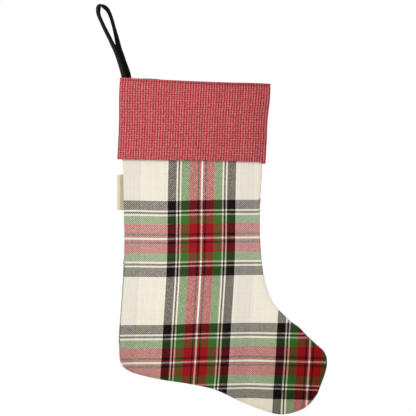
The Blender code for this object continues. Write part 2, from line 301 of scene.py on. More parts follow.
class Nodes:
    """Short calls for building one material's node tree."""

    def __init__(self, name):
        self.material = bpy.data.materials.new(name)
        self.material.use_nodes = True
        self.tree = self.material.node_tree
        self.shader = self.tree.nodes["Principled BSDF"]

    def put(self, socket, value):
        """Links or sets one input."""
        if isinstance(value, bpy.types.NodeSocket):
            self.tree.links.new(value, socket)
        elif isinstance(value, tuple) and socket.type == "RGBA":
            socket.default_value = (*value, 1.0)
        else:
            socket.default_value = value

    def add(self, kind, inputs=None, **settings):
        """A node with its settings and inputs."""
        node = self.tree.nodes.new(kind)
        for key, value in settings.items():
            setattr(node, key, value)
        for key, value in (inputs or {}).items():
            self.put(node.inputs[key], value)
        return node

    def math(self, operation, first, second=0.0, third=0.0, clamp=False):
        """One arithmetic step."""
        inputs = {0: first, 1: second, 2: third}
        return self.add("ShaderNodeMath", inputs, operation=operation, use_clamp=clamp).outputs[0]

    def mix(self, share, first, second, blend="MIX"):
        """A blend of two colours."""
        inputs = {"Factor": share, 6: first, 7: second}
        return self.add("ShaderNodeMix", inputs, data_type="RGBA", blend_type=blend).outputs[2]

    def mix_value(self, share, first, second):
        """A blend of two numbers."""
        inputs = {"Factor": share, 2: first, 3: second}
        return self.add("ShaderNodeMix", inputs, data_type="FLOAT").outputs[0]

    def object_vector(self):
        """The object coordinates of the surface, in metres."""
        return self.add("ShaderNodeTexCoord").outputs["Object"]

    def parts_of(self, vector):
        """The three numbers of a vector."""
        return self.add("ShaderNodeSeparateXYZ", {0: vector}).outputs

    def cloth_uv(self):
        """The cloth coordinates of the surface, in millimetres."""
        across, along, _ = self.parts_of(self.add("ShaderNodeUVMap", uv_map="cloth").outputs[0])
        return self.math("MULTIPLY", across, 1 / MM), self.math("MULTIPLY", along, 1 / MM)

    def noise(self, scale, detail=2.0):
        """Soft noise in object space; scale is in waves per metre."""
        inputs = {"Vector": self.object_vector(), "Scale": scale, "Detail": detail}
        return self.add("ShaderNodeTexNoise", inputs).outputs[0]

    def random_per(self, value, seed):
        """A random number for each whole step of a value."""
        step = self.math("ADD", self.math("FLOOR", value), seed)
        return self.add("ShaderNodeTexWhiteNoise", noise_dimensions="1D", inputs={"W": step}).outputs[0]

    def ramp(self, value, low, high, first, last):
        """A smooth change from one number to another as a value runs from low to high."""
        inputs = {0: value, 1: low, 2: high, 3: first, 4: last}
        return self.add("ShaderNodeMapRange", inputs, interpolation_type="SMOOTHSTEP").outputs[0]

    def gamma(self, colour, power):
        """Raises a colour to a power."""
        return self.add("ShaderNodeGamma", {0: colour, 1: power}).outputs[0]

    def scale_colour(self, colour, factor):
        """Multiplies a colour by a number."""
        inputs = {0: colour, "Scale": factor}
        return self.add("ShaderNodeVectorMath", inputs, operation="SCALE").outputs[0]

    def bump(self, height, distance, strength=1.0):
        """A bump normal from a height of 0 to 1."""
        inputs = {"Height": height, "Strength": strength, "Distance": distance * MM}
        return self.add("ShaderNodeBump", inputs).outputs[0]

    def finish(self, colour, roughness, normal, sheen=0.0, sheen_tint=WHITE):
        """Connects the main shader."""
        for key, value in (
            ("Base Color", colour), ("Roughness", roughness), ("Normal", normal),
            ("Specular IOR Level", 0.08), ("Sheen Weight", sheen), ("Sheen Roughness", 0.6),
            ("Sheen Tint", sheen_tint),
        ):
            self.put(self.shader.inputs[key], value)
        return self.material


def band_colour(nodes, distance, bands, repeat):
    """The yarn colour at a place on the cloth; the bands mirror about each centre line."""
    place = nodes.math("DIVIDE", nodes.math("PINGPONG", distance, repeat / 2), repeat / 2)
    ramp = nodes.add("ShaderNodeValToRGB", {0: place})
    ramp.color_ramp.interpolation = "CONSTANT"
    elements = ramp.color_ramp.elements
    start = 0.0
    for i, (end, yarn) in enumerate(bands):
        element = elements[i] if i < 2 else elements.new(start)
        element.position = start
        element.color = (*YARNS[yarn], 1.0)
        start = end / (repeat / 2)
    return ramp.outputs[0]


def wave(nodes, value, turn):
    """The sine of a value times a turn."""
    return nodes.math("SINE", nodes.math("MULTIPLY", value, turn))


def weave_relief(nodes, across, along, pitch_across, pitch_along, twill):
    """1 where the warp lies on top, the height of the yarns, and a random number for each crossing."""
    warp_index = nodes.math("FLOOR", nodes.math("DIVIDE", across, pitch_across))
    weft_index = nodes.math("FLOOR", nodes.math("DIVIDE", along, pitch_along))
    repeat, floats = (4.0, 1.5) if twill else (2.0, 0.5)
    phase = nodes.math("FLOORED_MODULO", nodes.math("ADD", warp_index, weft_index), repeat)
    warp_over = nodes.math("LESS_THAN", phase, floats)
    warp_round = nodes.math("ABSOLUTE", wave(nodes, across, math.pi / pitch_across))
    weft_round = nodes.math("ABSOLUTE", wave(nodes, along, math.pi / pitch_along))
    height = nodes.mix_value(warp_over, weft_round, warp_round)
    crossing = nodes.add("ShaderNodeCombineXYZ", {0: warp_index, 1: weft_index}).outputs[0]
    chance = nodes.add("ShaderNodeTexWhiteNoise", noise_dimensions="2D", inputs={"Vector": crossing})
    return warp_over, height, chance.outputs[0]


def centred(nodes, value, width):
    """A value of 0 to 1 turned into a swing of -width/2 to width/2."""
    return nodes.math("MULTIPLY_ADD", value, width, -width / 2)


def total(nodes, *values):
    """The sum of several numbers."""
    result = values[0]
    for value in values[1:]:
        result = nodes.math("ADD", result, value)
    return result


def brightness(nodes, colour):
    """The brightness of a colour."""
    return nodes.add("ShaderNodeRGBToBW", {0: colour}).outputs[0]


def shade_of(nodes, height, relief_share, patch_scale, patch_share):
    """A tone of 0 to 1: painted shade between the yarns, taken from their height, and soft random patches.
    """
    patches = nodes.math("MULTIPLY", nodes.noise(patch_scale, 3.0), patch_share)
    return nodes.math("MULTIPLY_ADD", height, relief_share, patches, clamp=True)


def plain_cloth(name, pitch):
    """Nodes, place across the cloth and height of the yarns of a plain weave."""
    nodes = Nodes(name)
    across, along = nodes.cloth_uv()
    return nodes, across, weave_relief(nodes, across, along, pitch, pitch, twill=False)[1]


def finish_cloth(nodes, colour, height, roughness, relief, sheen, tint=WHITE, fuzziness=(1800.0, 0.12)):
    """Connects a woven cloth with fuzz on its yarns; relief is the bump's (depth, strength)."""
    fuzz = nodes.noise(fuzziness[0], 3.0)
    rough = nodes.math("ADD", roughness, nodes.math("MULTIPLY", fuzz, fuzziness[1]))
    bump = nodes.bump(nodes.math("ADD", height, nodes.math("MULTIPLY", fuzz, 0.5)), *relief)
    return nodes.finish(nodes.gamma(colour, SCREEN_GAMMA), rough, bump, sheen, tint)


def foot_shade_share(nodes):
    """0 on the leg, rising towards heel and toe, where shade is painted in: the cloth is made darker and
    richer in colour as the foot turns away from the light.
    """
    x, _, z = nodes.parts_of(nodes.object_vector())
    ends = nodes.math("MAXIMUM", nodes.ramp(x, 0.05, 0.12, 0.9, 0.5), nodes.ramp(x, 0.12, 0.31, 0.5, 1.5))
    return nodes.math("MULTIPLY", nodes.ramp(z, -0.54, -0.45, 1.0, 0.0), ends)


def plaid_material(name):
    """Woven plaid: bands crossing in a twill, each yarn and crossing with its own slight shade."""
    nodes = Nodes(name)
    across, along = nodes.cloth_uv()
    warp = band_colour(nodes, across, WARP_BANDS, WARP_REPEAT)
    weft = band_colour(nodes, along, WEFT_BANDS, WEFT_REPEAT)
    warp_over, height, chance = weave_relief(nodes, across, along, YARN_PITCH, YARN_PITCH, twill=True)
    lighter = nodes.math("SUBTRACT", brightness(nodes, warp), brightness(nodes, weft))
    share = total(
        nodes,
        nodes.mix_value(warp_over, 1 - WARP_SHARE + FLOAT_CONTRAST, 1 - WARP_SHARE - FLOAT_CONTRAST),
        nodes.math("MULTIPLY", lighter, LIGHT_YARN_LOSS),
        centred(nodes, chance, 0.26),
        centred(nodes, nodes.noise(620.0, 2.0), 0.42),
    )
    mixed = nodes.mix(share, warp, weft)
    from_greyer = nodes.math("SUBTRACT", nodes.math("FLOORED_MODULO", across, WARP_REPEAT), GREYER_CREAM)
    greyer = nodes.ramp(nodes.math("ABSOLUTE", from_greyer), 10.0, 15.0, 1.0, 0.0)
    mixed = nodes.mix(greyer, mixed, nodes.mix(1.0, mixed, (0.962, 0.964, 0.978), "MULTIPLY"))
    warp_shade = nodes.random_per(nodes.math("DIVIDE", across, YARN_PITCH), 0.37)
    weft_shade = nodes.random_per(nodes.math("DIVIDE", along, YARN_PITCH), 91.37)
    factor = total(
        nodes, 0.975,
        centred(nodes, warp_shade, 0.035),
        centred(nodes, weft_shade, 0.02),
        centred(nodes, chance, 0.05),
        centred(nodes, nodes.noise(14.0), 0.04),
        # Painted shade between the yarns: their crowns are a little lighter than the gaps.
        nodes.math("MULTIPLY", height, 0.03),
    )
    # Painted shade on the foot: darker and richer in colour towards heel and toe.
    foot = foot_shade_share(nodes)
    factor = nodes.math("MULTIPLY", factor, nodes.math("MULTIPLY_ADD", foot, -0.04, 1.0))
    shaded_deeper = nodes.gamma(mixed, nodes.math("MULTIPLY_ADD", foot, 0.16, 1.0))
    colour = nodes.scale_colour(shaded_deeper, factor)
    return finish_cloth(nodes, colour, height, 0.80, (0.16, 0.7), 0.02, (1.0, 0.98, 0.95), (1500.0, 0.14))


STRIPE_REPEAT = 3.91
CUFF_WEFT_PITCH = 1.72
CREASE_DROP = 6.7  # the stitched crease under the fold over the mouth, along which shade is painted into the cuff


def cuff_material(name):
    """Red cloth with fine pale stripes, where pale warp yarns show as rows of dots, with painted light and
    shade: lighter at the left, darker towards the right, and shaded along the stitched line under the top
    fold and in the puckers below it.
    """
    nodes = Nodes(name)
    across, along = nodes.cloth_uv()
    wander = centred(nodes, nodes.noise(120.0, 2.0), 0.9)
    stripe = wave(nodes, nodes.math("ADD", across, wander), 2 * math.pi / STRIPE_REPEAT)
    dots = wave(nodes, nodes.math("ADD", along, wander), math.pi / CUFF_WEFT_PITCH)
    pitches = STRIPE_REPEAT / 4, CUFF_WEFT_PITCH / 2
    _, height, chance = weave_relief(nodes, across, along, *pitches, twill=False)
    pale = total(
        nodes, 0.44,
        nodes.math("MULTIPLY", stripe, 0.37),
        nodes.math("MULTIPLY", dots, 0.13),
        centred(nodes, chance, 0.50),
        centred(nodes, nodes.noise(560.0, 2.0), 1.0),
    )
    pale = nodes.math("ADD", pale, 0.0, clamp=True)
    base = nodes.mix(pale, (0.655, 0.135, 0.172), (0.825, 0.550, 0.540))
    shade = nodes.random_per(nodes.math("DIVIDE", across, STRIPE_REPEAT / 4), 7.1)
    # Painted light: the cuff is lighter at its left and darker towards the right, as the light falls off
    # across it.
    light_falloff = nodes.ramp(nodes.parts_of(nodes.object_vector())[0], 0.05, 0.25, 1.012, 0.962)
    # Painted shade in the crease under the fold, stronger to the right, and in the puckers below it near
    # the right seam.
    from_crease = nodes.math("ABSOLUTE", nodes.math("ADD", along, CREASE_DROP))
    right_side = nodes.ramp(across, 80.0, 190.0, 0.35, 1.0)
    crease = nodes.math("MULTIPLY", nodes.ramp(from_crease, 0.3, 1.7, -0.13, 0.0), right_side)
    far_right = nodes.ramp(across, 120.0, 200.0, 0.0, 1.0)
    pucker_shade = nodes.math("MULTIPLY", nodes.ramp(from_crease, 1.5, 7.0, -0.055, 0.0), far_right)
    factor = total(
        nodes, light_falloff, crease, pucker_shade,
        centred(nodes, shade, 0.08),
        centred(nodes, nodes.noise(12.0), 0.05),
        centred(nodes, nodes.noise(900.0, 2.0), 0.14),
    )
    colour = nodes.scale_colour(base, factor)
    height = nodes.math("ADD", height, nodes.math("MULTIPLY", pale, 0.6))
    return finish_cloth(nodes, colour, height, 0.80, (0.22, 0.8), 0.03, (1.0, 0.85, 0.85), (1500.0, 0.14))


def lining_material(name):
    """Dark plain-woven lining."""
    nodes, _, height = plain_cloth(name, 0.6)
    colour = nodes.mix(shade_of(nodes, height, 0.6, 60.0, 0.5), (0.09, 0.10, 0.09), (0.17, 0.19, 0.17))
    return finish_cloth(nodes, colour, height, 0.79, (0.2, 0.8), 0.1)


def strap_material(name):
    """Black folded cloth with painted light: lighter towards one edge of one face, where the light falls on
    the strap.
    """
    nodes, across, height = plain_cloth(name, 0.55)
    shade = shade_of(nodes, height, 0.6, 60.0, 0.5)
    dark = nodes.mix(shade, (0.020, 0.018, 0.018), (0.070, 0.065, 0.062))
    # Painted light: a lighter colour towards one edge of the strap's second face, where the light from the
    # left falls on it.
    lit_colour = nodes.mix(shade, (0.150, 0.144, 0.140), (0.250, 0.241, 0.235))
    lit_share = nodes.ramp(across, STRAP_FACE_SHIFT - 4.2, STRAP_FACE_SHIFT + 4.2, 0.0, 1.0)
    colour = nodes.mix(lit_share, dark, lit_colour)
    return finish_cloth(nodes, colour, height, 0.52, (0.12, 0.8), 0.01)


def label_material(name):
    """Beige woven tape, paler along its outer fold than over the rest."""
    nodes, across, height = plain_cloth(name, 0.7)
    shade = shade_of(nodes, height, 0.5, 70.0, 0.6)
    base = nodes.mix(shade, (0.665, 0.610, 0.505), (0.790, 0.735, 0.625))
    pale = nodes.mix(shade, (0.840, 0.790, 0.680), (0.905, 0.860, 0.755))
    from_fold = nodes.math("FLOORED_MODULO", across, LABEL_FACE_SHIFT)
    colour = nodes.mix(nodes.ramp(from_fold, 2.8, 5.2, 1.0, 0.0), base, pale)
    return finish_cloth(nodes, colour, height, 0.69, (0.12, 0.8), 0.03)


def thread_material(name, colour_low, colour_high, roughness):
    """Twisted sewing thread."""
    nodes = Nodes(name)
    grain = nodes.noise(2600.0, 2.0)
    colour = nodes.gamma(nodes.mix(grain, colour_low, colour_high), SCREEN_GAMMA)
    return nodes.finish(colour, roughness, nodes.bump(grain, 0.08, 0.6), 0.1)


# ---- Leg and foot

HEEL_EDGE = tuple(pair[0] for pair in BODY_PAIRS) + (TOE_TIP,)
INSTEP_EDGE = tuple(pair[1] for pair in BODY_PAIRS) + (TOE_TIP,)


def edge_point(edge, place, inset, turn):
    """A point of an edge curve moved inwards; turn is 1 on the heel side and -1 on the instep side."""
    step = 0.05
    way = (through(edge, min(place + step, LAST_ROW)) - through(edge, max(place - step, 0.0))).normalized()
    return through(edge, place) + Vector((-way.y, way.x)) * turn * inset


def cushion(share):
    """Height of the cushion section across the width, 0 at the seams and 1 in the middle."""
    return math.sqrt(max(0.0, 1 - abs(2 * share - 1) ** PLUMPNESS))


def body_depth(place):
    """Half depth of leg and foot, thinning to nothing at the toe."""
    past = max(0.0, place - TOE_TAPER_FROM) / (LAST_ROW - TOE_TAPER_FROM)
    return BODY_HALF_DEPTH * math.sqrt(max(0.0, 1 - past ** 3))


def seam_roll(edge, z):
    """How far the seam has rolled from the outline towards the front."""
    if edge is HEEL_EDGE:
        return 0.05 + 1.2 * window(z, -507.0, -386.0, 10.0)
    return 0.35 + 4.0 * (1 - smooth_step(-240.0, -325.0, z))


def section_point(side, share, place, inset):
    """A point of the section of leg and foot; side is -1 for its front half and 1 for the back."""
    heel = edge_point(HEEL_EDGE, place, inset, 1)
    instep = edge_point(INSTEP_EDGE, place, inset, -1)
    flat = heel.lerp(instep, share)
    depth = body_depth(place) * (1 - inset / BODY_HALF_DEPTH) * cushion(share)
    rim = (mouth_height(share) - RIM_BELOW_MOUTH) * (1 - smooth_step(0.0, 0.9, place))
    return Vector((flat.x, side * depth, flat.y + rim))


def seam_shares(place):
    """Where the two seams lie on the front half of the section, as shares of the width."""
    heel = through(HEEL_EDGE, place)
    instep = through(INSTEP_EDGE, place)
    width = max(1.0, (instep - heel).length)
    low = min(0.3, seam_roll(HEEL_EDGE, heel.y) / width)
    high = 1 - min(0.3, seam_roll(INSTEP_EDGE, instep.y) / width)
    return low, high


def turned(reach):
    """Side and share of the section for a reach that may run round the edges to the front."""
    if reach < 0:
        return -1, -reach
    if reach > 1:
        return -1, 2 - reach
    return 1, reach


def panel_point(side, step, place, inset=0.0):
    """A point of a panel's outer face: step runs from the heel-side seam (0) to the other one (1)."""
    low, high = seam_shares(place)
    if side < 0:
        half, share = -1, low + (high - low) * step
    else:
        half, share = turned(-low + (2 - high + low) * step)
    point = section_point(half, share, place, inset)
    near_seam = min((point - section_point(-1, seam, place, inset)).length for seam in (low, high))
    groove = SEAM_GROOVE * math.exp(-((near_seam / SEAM_GROOVE_REACH) ** 2))
    return section_point(half, share, place, inset + groove)


def cloth_place(side, x, z):
    """Cloth coordinates (across the warp, along the warp) of a point seen from the front."""
    bow = hump(z, WARP_BOW, WARP_BOW_Z, WARP_BOW_REACH) - TOE_BOW * smooth_step(-520.0, -595.0, z)
    across = (x - WARP_CENTRE[0] - WARP_LEAN * (z - WARP_CENTRE[1]) - bow) / WARP_STRETCH
    lift = HEEL_LIFT * (1 - smooth_step(28.0, 94.0, x)) + hump(x, *WEFT_WAVES[0])
    first = WEFT_FIRST[0] - WEFT_FIRST[1] * (x - WEFT_FIRST[2]) ** 2 + lift
    second = WEFT_SECOND[0] - WEFT_SECOND[1] * (x - WEFT_SECOND[2]) ** 2 + SECOND_LIFT_SHARE * lift
    second += hump(x, *WEFT_WAVES[1])
    along = (first - z) / (first - second) * WEFT_REPEAT
    if side > 0:
        across += BACK_SHIFT[0]
        along += BACK_SHIFT[1]
    return across, along


def shares_across(columns):
    """Positions across a sheet from 0 to 1, closer together near its edges."""
    places = [i / columns for i in range(columns + 1)]
    return [0.25 * place + 0.75 * (1 - math.cos(math.pi * place)) / 2 for place in places]


def toe_sheet(name, side, points, width, tip, uv_of):
    """A sheet from a grid of points, width to a row, and a tip at the toe; its faces look inwards."""
    end = len(points)
    last = end - width
    points = points + [Vector(tip)]
    faces = grid_faces(end // width, width)
    faces += [(last + column, last + column + 1, end) for column in range(width - 1)]
    if side > 0:
        faces = [tuple(reversed(face)) for face in faces]
    return mesh_object(name, points, faces, [uv_of(point) for point in points])


def panel_sheet(name, side, columns, rows):
    """One panel as a sheet, and the points along its edges, which are held."""
    shares = shares_across(columns)
    points = [panel_point(side, share, LAST_ROW * (row / rows)) for row in range(rows) for share in shares]
    width = len(shares)
    tip = (TOE_TIP[0] - 0.3, 0.0, TOE_TIP[1] + 0.2)
    obj = toe_sheet(name, side, points, width, tip, lambda point: cloth_place(side, point.x, point.z))
    starts = range(0, rows * width, width)
    held = set(range(width)) | set(starts) | {start + width - 1 for start in starts} | {rows * width}
    return obj, sorted(held)


def simulate_cloth(obj, held):
    """Runs the sheet as slightly generous cloth, held at its seams and filled by a little air."""
    group = obj.vertex_groups.new(name="held")
    group.add(held, 1.0, "REPLACE")
    modifier = obj.modifiers.new("cloth", "CLOTH")
    settings = modifier.settings
    for key, value in CLOTH_SETTINGS.items():
        setattr(settings, key, value)
    settings.vertex_group_mass = group.name
    settings.effector_weights.gravity = 0.0
    modifier.collision_settings.use_collision = False
    modifier.point_cache.frame_end = SIM_FRAMES + 1
    scene = bpy.context.scene
    for step in range(1, SIM_FRAMES + 1):
        scene.frame_set(step)
    apply_modifiers(obj)
    scene.frame_set(1)
    return np.array([point.co for point in obj.data.vertices])


def settled_offsets(side):
    """How far cloth settles off a panel's drawn shape, as rows x columns x 3 in millimetres."""
    obj, held = panel_sheet("settling_sheet", side, PANEL_COLUMNS // 2, PANEL_ROWS // 2)
    obj.data.transform(Matrix.Scale(SIM_SCALE, 4))
    before = np.array([point.co for point in obj.data.vertices])
    moved = (simulate_cloth(obj, held) - before) / (SIM_SCALE * MM)
    mesh = obj.data
    bpy.data.objects.remove(obj)
    bpy.data.meshes.remove(mesh)
    return moved[:-1].reshape(PANEL_ROWS // 2, PANEL_COLUMNS // 2 + 1, 3)


def settle_sheet(obj, side):
    """Moves a panel's points by a softened share of the simulated settling."""
    fine = settled_offsets(side)
    for axis, places in enumerate((np.arange(PANEL_ROWS) / 2, np.arange(PANEL_COLUMNS + 1) / 2)):
        fine = np.apply_along_axis(lambda line: np.interp(places, np.arange(len(line)), line), axis, fine)
    fine = fine.reshape(-1, 3)
    points = obj.data.vertices
    normals = np.array([point.normal for point in points])[:-1]
    amount = (fine * normals).sum(axis=1) * SETTLING_SHARE
    amount = SETTLING_LIMIT * np.tanh(amount / SETTLING_LIMIT)
    for point, normal, step in zip(points, normals, amount):
        point.co += Vector(normal) * (float(step) * MM)
    obj.data.update()


def build_panels(material):
    """The front and back plaid panels."""
    for half, side in HALVES:
        obj, _ = panel_sheet(f"plaid_{half}", side, PANEL_COLUMNS, PANEL_ROWS)
        settle_sheet(obj, side)
        thicken(obj, PANEL_THICKNESS, -1.0)
        dress(obj, material, "plaid_cloth", f"{half}_panel", body="stocking")


def build_lining(material):
    """The lining bag just inside the panels."""
    shares = shares_across(LINING_COLUMNS)
    places = [LAST_ROW * row / LINING_ROWS for row in range(LINING_ROWS)]
    tip = (TOE_TIP[0] - 2.2, 0.0, TOE_TIP[1] + 1.4)
    for half, side in HALVES:
        points = [panel_point(side, share, place, LINING_INSET) for place in places for share in shares]
        obj = toe_sheet(f"lining_{half}", side, points, len(shares), tip, lambda point: (point.x, point.z))
        thicken(obj, LINING_THICKNESS, -1.0)
        dress(obj, material, "lining_cloth", f"{half}_lining", body="stocking")


# ---- Cuff


def cuff_edge(edge, drop):
    """A point of a cuff edge at a drop below the mouth."""
    return through(edge, min(1.0, drop / CUFF_HEIGHT) * (len(edge) - 1))


def mouth_height(share):
    """How far the mouth edge stands above the straight line between its corners."""
    return -1.55 * math.sin(math.pi * share) ** 0.8 + 0.3 * window(share, 0.8, 0.97, 0.05)


def hem_sag(share):
    """How far the hem hangs below the straight line between its corners."""
    return 2.4 * window(share, 0.977, 1.02, 0.012) + 0.5 * math.sin(7.0 * share) * math.sin(math.pi * share)


def cuff_point(side, inset, share, drop, gap):
    """A point of a cuff layer, with the drop measured down from the mouth edge."""
    left = cuff_edge(CUFF_LEFT, drop) + Vector((inset, 0.0))
    right = cuff_edge(CUFF_RIGHT, drop) - Vector((inset, 0.0))
    flat = left.lerp(right, share)
    down = drop / CUFF_HEIGHT
    rise = mouth_height(share) * (1 - smooth_step(0.0, 0.25, down))
    rise -= hem_sag(share) * smooth_step(0.75, 1.0, down)
    outer = CUFF_HALF_DEPTH_TOP + (CUFF_HALF_DEPTH_HEM - CUFF_HALF_DEPTH_TOP) * down
    depth = (outer - inset) * cushion(share)
    swell = 0.7 * noise.noise(Vector((flat.x / 46.0, flat.y / 90.0, 3.7 * side))) * cushion(share)
    return Vector((flat.x, side * (gap + depth + swell), flat.y + rise))


# Profiles as (inset, drop).
HEM_TURNS = [math.radians(degrees) for degrees in (15, 35, 55, 75, 90, 105, 130, 155)]
FLAP_PROFILE = (
    [(1.4, FLAP_TOP), (1.3, 6.4), (1.0, 7.1), (0.5, 7.9), (0.15, 8.9)]
    + [(0.0, 10.2 + (121.6 - 10.2) * i / CUFF_ROWS) for i in range(CUFF_ROWS + 1)]
    + [(1.2 - 1.2 * math.cos(turn), 122.6 + 2.4 * math.sin(turn)) for turn in HEM_TURNS]
    + [(2.4, 121.6), (2.4, 90.0), (2.4, 50.0), (2.4, FLAP_TOP)]
    + [(1.5, FLAP_TOP), (1.5, 60.0), (1.5, 120.0), (1.2, 121.4), (0.9, 120.0), (0.9, 60.0), (0.9, FLAP_TOP)]
)
FOLD_PROFILE = (
    (1.0, 6.8), (0.55, 6.5), (0.15, 5.7), (-0.1, 4.6), (-0.25, 3.3), (-0.2, 2.0), (0.1, 1.0), (0.6, 0.35),
    (1.4, 0.0), (3.0, -0.1), (5.0, -0.1), (6.8, 0.0), (7.6, 0.3), (8.1, 0.9), (8.3, 2.0), (8.3, 4.5),
    (8.2, 7.5), (7.6, 7.5), (7.5, 2.2), (6.8, 0.9), (1.6, 0.9), (1.1, 1.8), (1.2, 4.5), (1.3, 6.4),
)


def ring_object(name, profile, stops, closed, gap):
    """A profile swept across the cuff at (side, share) stops."""
    points = []
    uvs = []
    for side, share in stops:
        left = cuff_point(side, 0.0, 0.0, 60.0, gap).x
        right = cuff_point(side, 0.0, 1.0, 60.0, gap).x
        place = left + (right - left) * share
        place = place if side < 0 else 520.0 - place
        for inset, drop in profile:
            points.append(cuff_point(side, inset, share, drop, gap))
            uvs.append((place, -drop))
    faces = grid_faces(len(stops), len(profile), close_rows=closed, close_columns=True)
    if not closed:
        faces += end_caps(len(profile), len(points))
    return face_outwards(mesh_object(name, points, faces, uvs))


def build_cuff(material):
    """The two loose halves of the cuff and the fold over the mouth."""
    shares = shares_across(CUFF_COLUMNS)
    for half, side in HALVES:
        name = f"cuff_{half}"
        obj = ring_object(f"{name}_cloth", FLAP_PROFILE, [(side, share) for share in shares], False, 0.05)
        dress(obj, material, "cuff_cloth", name)
        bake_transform(obj)
    stops = [(-1, share) for share in shares] + [(1, share) for share in reversed(shares[1:-1])]
    fold = ring_object("cuff_mouth_fold", FOLD_PROFILE, stops, True, 0.0)
    dress(fold, material, "cuff_cloth", "cuff_top_fold", body="stocking")


def build_lining_hem(material):
    """The lining's free edge, a little above the fold at the back of the mouth near the strap."""
    first, last = HEM_SHARES
    points = []
    for column in range(HEM_COLUMNS + 1):
        place = column / HEM_COLUMNS
        top = HEM_END - (HEM_END + HEM_RISE) * math.sin(math.pi * place) ** 0.36
        for row in range(HEM_ROWS + 1):
            drop = HEM_FOOT + (top - HEM_FOOT) * row / HEM_ROWS
            inset = HEM_INSET + 0.15 * math.sin(9.0 * place + 0.5 * row)
            points.append(cuff_point(1, inset, first + (last - first) * place, drop, 0.0))
    faces = grid_faces(HEM_COLUMNS + 1, HEM_ROWS + 1)
    obj = mesh_object("lining_hem", points, faces, [(point.x, point.z) for point in points])
    thicken(obj, LINING_THICKNESS, 0.0)
    dress(obj, material, "lining_cloth", body="stocking")


# ---- Strap loop, up the right leg and down the left one:
# (x, z, y, half width, turn about its own line in degrees, thickness).

STRAP_ROWS = (
    (42.5, -138.0, 1.2, 4.2, 0.0, 2.2), (41.0, -122.0, 1.3, 4.3, 0.0, 2.2),
    (39.6, -105.4, 1.4, 4.4, 0.0, 2.2), (37.3, -96.8, 1.4, 4.4, -4.0, 2.2),
    (32.8, -84.0, 1.4, 4.3, -10.0, 2.2), (28.9, -72.0, 1.3, 4.2, -18.0, 2.2),
    (26.1, -64.2, 1.2, 4.2, -22.0, 2.2), (23.7, -55.1, 1.0, 4.2, -26.0, 2.3),
    (21.7, -46.1, 0.7, 4.2, -40.0, 2.3), (19.4, -37.0, 0.4, 4.2, -55.0, 2.4),
    (17.0, -27.9, 0.2, 4.2, -60.0, 2.5), (14.5, -18.9, 0.0, 4.2, -61.0, 2.6),
    (11.1, -9.8, 0.0, 4.2, -60.0, 2.8), (7.5, -3.6, 0.0, 4.2, -58.0, 3.2),
    (3.8, -0.4, 0.0, 4.2, -62.0, 3.4), (0.0, 1.8, 0.0, 4.2, -80.0, 3.7),
    (-3.2, 2.2, 0.0, 4.3, -114.0, 3.6), (-5.3, -0.2, 0.0, 4.3, -136.0, 3.3),
    (-6.0, -4.4, 0.0, 4.2, -137.0, 2.9), (-5.7, -9.8, 0.0, 4.2, -131.0, 2.6),
    (-3.8, -15.9, 0.0, 4.2, -123.0, 2.5), (-1.1, -21.9, -0.1, 4.2, -122.0, 2.4),
    (3.1, -31.0, -0.3, 4.2, -126.0, 2.3), (7.6, -40.0, -0.5, 4.2, -129.0, 2.2),
    (12.2, -49.1, -0.8, 4.2, -132.0, 2.2), (15.0, -55.1, -1.0, 4.2, -136.0, 2.2),
    (18.9, -62.7, -1.2, 4.2, -144.0, 2.2), (23.0, -72.0, -1.4, 4.2, -152.0, 2.2),
    (27.5, -84.0, -1.4, 4.4, -163.0, 2.2), (31.5, -96.8, -1.4, 4.5, -176.0, 2.2),
    (33.5, -105.4, -1.4, 4.5, -180.0, 2.2), (35.6, -122.0, -1.3, 4.3, -180.0, 2.2),
    (37.6, -138.0, -1.2, 4.2, -180.0, 2.2),
)
LAST_STRAP_ROW = len(STRAP_ROWS) - 1.0
STRAP_SPLIT_Z = -85.0
LOOP_STEPS = 190
TAIL_STEPS = 34
# Threads: (spacing, stitch length, radius).
STRAP_THREAD = (2.3, 1.656, 0.17)
SEAM_THREAD = (3.0, 2.2, 0.28)
LINING_THREAD = (2.4, 0.22)
MOUTH_THREAD = (1.9, 0.24)
TACK_THREAD = (4.6, 0.3)
STITCH_RINGS = 5
STITCH_SIDES = 6
STRAP_STITCH_STEPS = 400
# Section of the folded strap as (place across, height) from an edge past its stitched groove to the middle.
STRAP_EDGE = (
    (-1.0, 0.0), (-0.97, 0.55), (-0.88, 0.92), (-0.80, 1.0), (-0.72, 0.80), (-0.66, 0.78), (-0.56, 0.98),
    (-0.25, 0.92), (0.0, 0.86),
)
STRAP_FACE = [*STRAP_EDGE, *((-across, height) for across, height in reversed(STRAP_EDGE[:-1]))]
STRAP_SECTION = STRAP_FACE + [(across, -height) for across, height in reversed(STRAP_FACE[1:-1])]
GROOVE_PLACE = 0.69
GROOVE_HEIGHT = 0.78


def strap_frame(place):
    """Centre, directions along, across and out, half width and half thickness of the strap at a place."""
    row = through(STRAP_ROWS, place)
    step = 0.04
    ahead = through(STRAP_ROWS, min(place + step, LAST_STRAP_ROW))
    behind = through(STRAP_ROWS, max(place - step, 0))
    way = Vector((ahead[0] - behind[0], ahead[2] - behind[2], ahead[1] - behind[1])).normalized()
    side = Vector((0.0, -1.0, 0.0)).cross(way).normalized()
    out = way.cross(side).normalized()
    angle = math.radians(row[4])
    across = side * math.cos(angle) + out * math.sin(angle)
    normal = out * math.cos(angle) - side * math.sin(angle)
    return Vector((row[0], row[2], row[1])), way, across, normal, row[3], row[5] / 2


def split_places():
    """The two places where the strap crosses the split height, by halving."""
    found = []
    for low, high in ((2.0, 6.0), (LAST_STRAP_ROW - 2.0, LAST_STRAP_ROW - 6.0)):
        for _ in range(40):
            middle = (low + high) / 2
            if through(STRAP_ROWS, middle)[1] < STRAP_SPLIT_Z:
                low = middle
            else:
                high = middle
        found.append((low + high) / 2)
    return found


